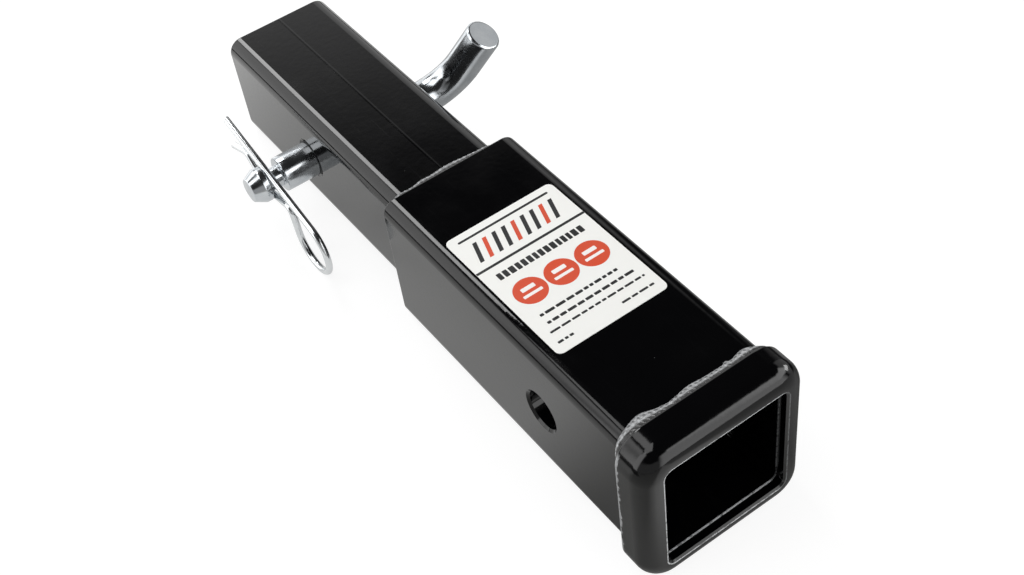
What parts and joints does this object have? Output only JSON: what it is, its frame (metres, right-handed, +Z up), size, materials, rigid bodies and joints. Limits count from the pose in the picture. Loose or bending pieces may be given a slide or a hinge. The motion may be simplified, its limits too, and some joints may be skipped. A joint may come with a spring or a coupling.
{
  "type": "hitch receiver extender",
  "caption": "Square receiver tube with a bullnosed collar at its mouth and a smaller square shank welded into its back, with a bent hitch pin and a hairpin clip through the shank.",
  "frame": {"origin": "centre of the receiver tube's cross hole, on the tube's centreline", "axes": "+X along the cross hole towards the pin's handle, +Y along the tube from the mouth towards the shank, +Z up"},
  "size_m": [0.1247, 0.3092, 0.0728],
  "materials": {
    "black_steel": "gloss black powder coat on welded steel tube",
    "black_weld": "gloss black powder coat over a rippled weld bead",
    "zinc": "bright zinc plate",
    "label": null
  },
  "bodies": {
    "extender": {"receiver_tube": "black_steel", "collar": "black_steel", "shank_tube": "black_steel", "collar_weld": "black_weld", "back_weld": "black_weld", "label": "label"},
    "pin": {"hitch_pin": "zinc"},
    "clip": {"hairpin_clip": "zinc"}
  },
  "joints": [
    {"name": "pin_slide", "type": "slide", "parent": "extender", "child": "pin", "axis": [1, 0, 0], "range_m": [-0.007, 0.0195]},
    {"name": "clip_turn", "type": "hinge", "parent": "pin", "child": "clip", "pos_m": [-0.0471, 0.1778, 0], "axis": [1, 0, 0], "continuous": true}
  ]
}
